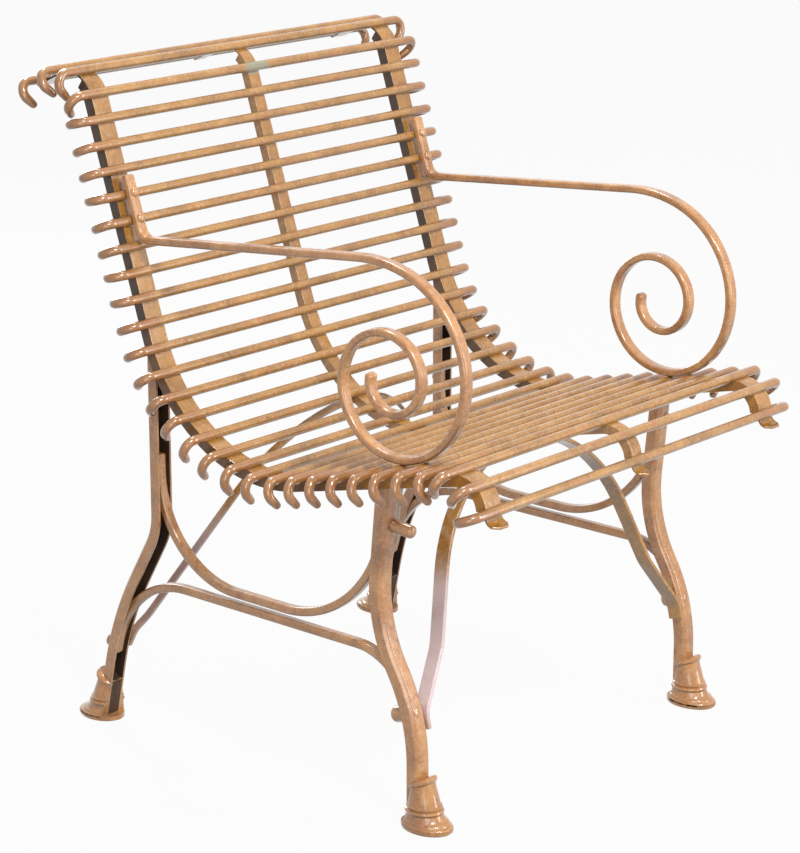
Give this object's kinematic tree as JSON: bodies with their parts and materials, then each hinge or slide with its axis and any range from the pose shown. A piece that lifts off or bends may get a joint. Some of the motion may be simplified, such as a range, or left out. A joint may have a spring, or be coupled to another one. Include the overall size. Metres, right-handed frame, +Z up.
{
  "type": "garden armchair",
  "caption": "Garden armchair of forged bar: hooked round rods across three bent rails form seat and back, with flat scroll arms, channel legs, hoof feet and curved braces.",
  "frame": {"origin": "on the floor, centre of the bounding box", "axes": "+X to the sitter's left, -Y to the front, +Z up"},
  "size_m": [0.5954, 0.6888, 0.7883],
  "materials": {
    "painted_bar": "semi-gloss ochre paint, worn and mottled",
    "painted_casting": "semi-gloss ochre paint over a cast surface"
  },
  "bodies": {
    "root": {"arm_left": "painted_bar", "arm_right": "painted_bar", "back_rod_01": "painted_bar", "back_rod_02": "painted_bar", "back_rod_03": "painted_bar", "back_rod_04": "painted_bar", "back_rod_05": "painted_bar", "back_rod_06": "painted_bar", "back_rod_07": "painted_bar", "back_rod_08": "painted_bar", "back_rod_09": "painted_bar", "back_rod_10": "painted_bar", "back_rod_11": "painted_bar", "back_rod_12": "painted_bar", "back_rod_13": "painted_bar", "front_cross_brace": "painted_bar", "front_foot_left": "painted_casting", "front_foot_right": "painted_casting", "front_leg_left": "painted_bar", "front_leg_right": "painted_bar", "head_rod_01": "painted_bar", "head_rod_02": "painted_bar", "head_rod_03": "painted_bar", "middle_rail": "painted_bar", "rear_cross_brace": "painted_bar", "rear_foot_left": "painted_casting", "rear_foot_right": "painted_casting", "rear_leg_left": "painted_bar", "rear_leg_right": "painted_bar", "rivets": "painted_bar", "seat_rod_01": "painted_bar", "seat_rod_02": "painted_bar", "seat_rod_03": "painted_bar", "seat_rod_04": "painted_bar", "seat_rod_05": "painted_bar", "seat_rod_06": "painted_bar", "seat_rod_07": "painted_bar", "seat_rod_08": "painted_bar", "seat_rod_09": "painted_bar", "seat_rod_10": "painted_bar", "seat_rod_11": "painted_bar", "seat_rod_12": "painted_bar", "seat_rod_13": "painted_bar", "seat_rod_14": "painted_bar", "seat_rod_15": "painted_bar", "seat_rod_16": "painted_bar", "side_rail_left": "painted_bar", "side_rail_right": "painted_bar", "side_sling_left": "painted_bar", "side_sling_right": "painted_bar", "side_stretcher_left": "painted_bar", "side_stretcher_right": "painted_bar"}
  },
  "joints": []
}
